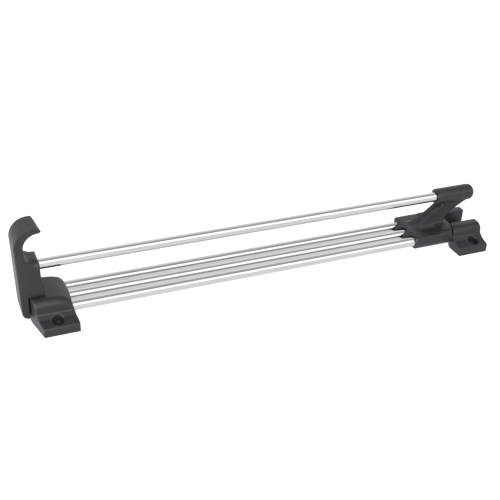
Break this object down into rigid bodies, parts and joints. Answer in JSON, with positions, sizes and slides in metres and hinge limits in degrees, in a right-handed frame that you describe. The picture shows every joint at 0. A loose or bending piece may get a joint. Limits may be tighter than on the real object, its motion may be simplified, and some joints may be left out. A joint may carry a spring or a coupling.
{
  "type": "pull-out clothes rail",
  "caption": "Pull-out clothes rail: a round hanging rail on a sliding frame with a hooked handle and a carriage, running on guide tubes between screw-on feet.",
  "frame": {"origin": "middle of the footprint, on the mounting plane under the feet", "axes": "+X along the tubes from the handle to the rear foot, +Y across the tubes to the left seen from the handle, +Z from the mounting plane to the hanging rail"},
  "size_m": [0.489, 0.076, 0.097],
  "materials": {
    "black_plastic": "fine satin grain",
    "chrome_tube": "bright plated",
    "nylon": "natural",
    "buffer_rubber": "matte",
    "screw_steel": "zinc plated"
  },
  "bodies": {
    "frame": {"front_foot": "black_plastic", "rear_foot": "black_plastic", "guide_tube_left": "chrome_tube", "guide_tube_right": "chrome_tube", "slide_bush": "nylon", "guide_tube_screws": "screw_steel", "guide_tube_plugs_left": "nylon", "guide_tube_plugs_right": "nylon", "closing_buffer_left": "buffer_rubber", "closing_buffer_right": "buffer_rubber"},
    "slide": {"handle": "black_plastic", "carriage": "black_plastic", "hanging_rail": "chrome_tube", "centre_slide_tube": "chrome_tube", "rail_plugs": "nylon", "centre_tube_plugs": "nylon", "rail_screws": "screw_steel", "centre_tube_set_screws": "screw_steel", "carriage_bush_left": "nylon", "carriage_bush_right": "nylon"}
  },
  "joints": [
    {"name": "pull_out", "type": "slide", "parent": "frame", "child": "slide", "axis": [-1, 0, 0], "range_m": [0, 0.3555]}
  ]
}
